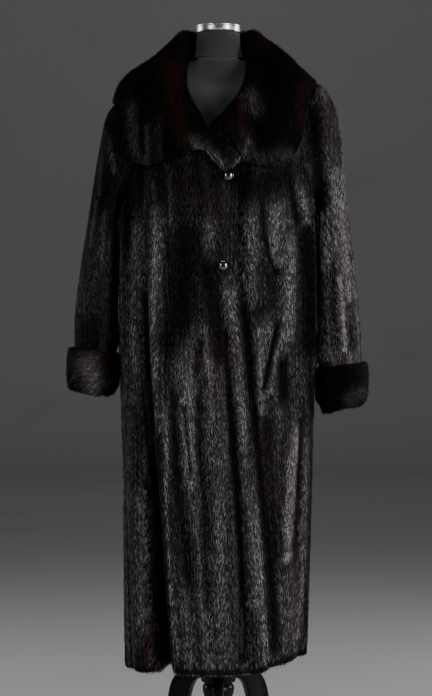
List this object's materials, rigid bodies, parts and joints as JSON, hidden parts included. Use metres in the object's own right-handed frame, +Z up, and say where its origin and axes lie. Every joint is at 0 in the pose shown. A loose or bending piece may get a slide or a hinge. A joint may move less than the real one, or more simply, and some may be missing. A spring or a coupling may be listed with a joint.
{
  "type": "fur coat on a dress form",
  "caption": "Full-length fur coat with a broad cape collar and turned-back cuffs, buttoned on a limbless dress form on a three-legged stand.",
  "frame": {"origin": "on the floor under the middle of the whole part's box; the stand's pole is 57 mm behind it", "axes": "+Z up, the coat's front toward -Y, the wearer's left toward +X"},
  "size_m": [0.6271, 0.4238, 1.5644],
  "materials": {
    "fur": "dense glossy fur, near black with a dark mahogany cast",
    "button": "glossy black, domed",
    "jersey": "matt dark grey jersey",
    "chrome": "polished",
    "black_paint": "black satin paint on turned and sawn wood and on the pole"
  },
  "bodies": {
    "root": {"coat_front_right": "fur", "coat_front_left": "fur", "coat_back": "fur", "sleeve_right": "fur", "sleeve_left": "fur", "cuff_right": "fur", "cuff_left": "fur", "collar": "fur", "button_top": "button", "button_bottom": "button", "form_torso": "jersey", "form_neck": "jersey", "neck_cap": "chrome", "stand_pole": "black_paint", "stand_hub": "black_paint", "leg_front": "black_paint", "leg_left": "black_paint", "leg_right": "black_paint"}
  },
  "joints": []
}
